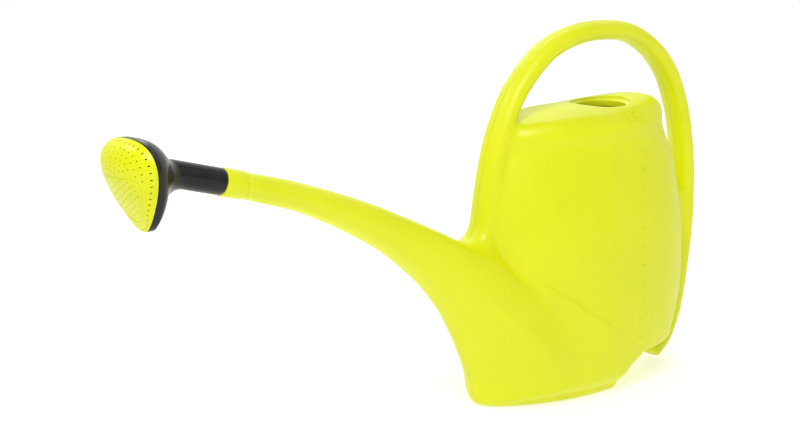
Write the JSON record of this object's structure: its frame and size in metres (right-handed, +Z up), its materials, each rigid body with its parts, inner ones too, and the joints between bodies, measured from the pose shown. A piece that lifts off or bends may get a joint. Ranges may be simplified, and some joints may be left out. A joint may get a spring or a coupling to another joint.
{
  "type": "watering can",
  "caption": "Long-spouted plastic watering can with a tall loop handle, an oval filling mouth in its top, and a push-on drilled rose that turns on the spout.",
  "frame": {"origin": "centre of the flat foot that the can stands on, in the can's plane of symmetry", "axes": "+Z up; the spout points along -X and the rear spine is at +X; the can is the same on both sides of the XZ plane"},
  "size_m": [0.8568, 0.175, 0.44],
  "materials": {
    "lime_hdpe": "satin blow-moulded polyethylene",
    "black_pp": "glossy injection-moulded polypropylene",
    "lime_pp": "smooth injection-moulded polypropylene"
  },
  "bodies": {
    "can": {"tank": "lime_hdpe", "spout": "lime_hdpe", "handle": "lime_hdpe"},
    "rose": {"rose_shell": "black_pp"},
    "face": {"rose_face": "lime_pp"}
  },
  "joints": [
    {"name": "rose_turn", "type": "hinge", "parent": "can", "child": "rose", "pos_m": [-0.4365, 0, 0.3085], "axis": [-0.9659, 0, 0.2588], "continuous": true},
    {"name": "face_pull", "type": "slide", "parent": "rose", "child": "face", "axis": [-1, 0, 0], "range_m": [0, 0.03]}
  ]
}
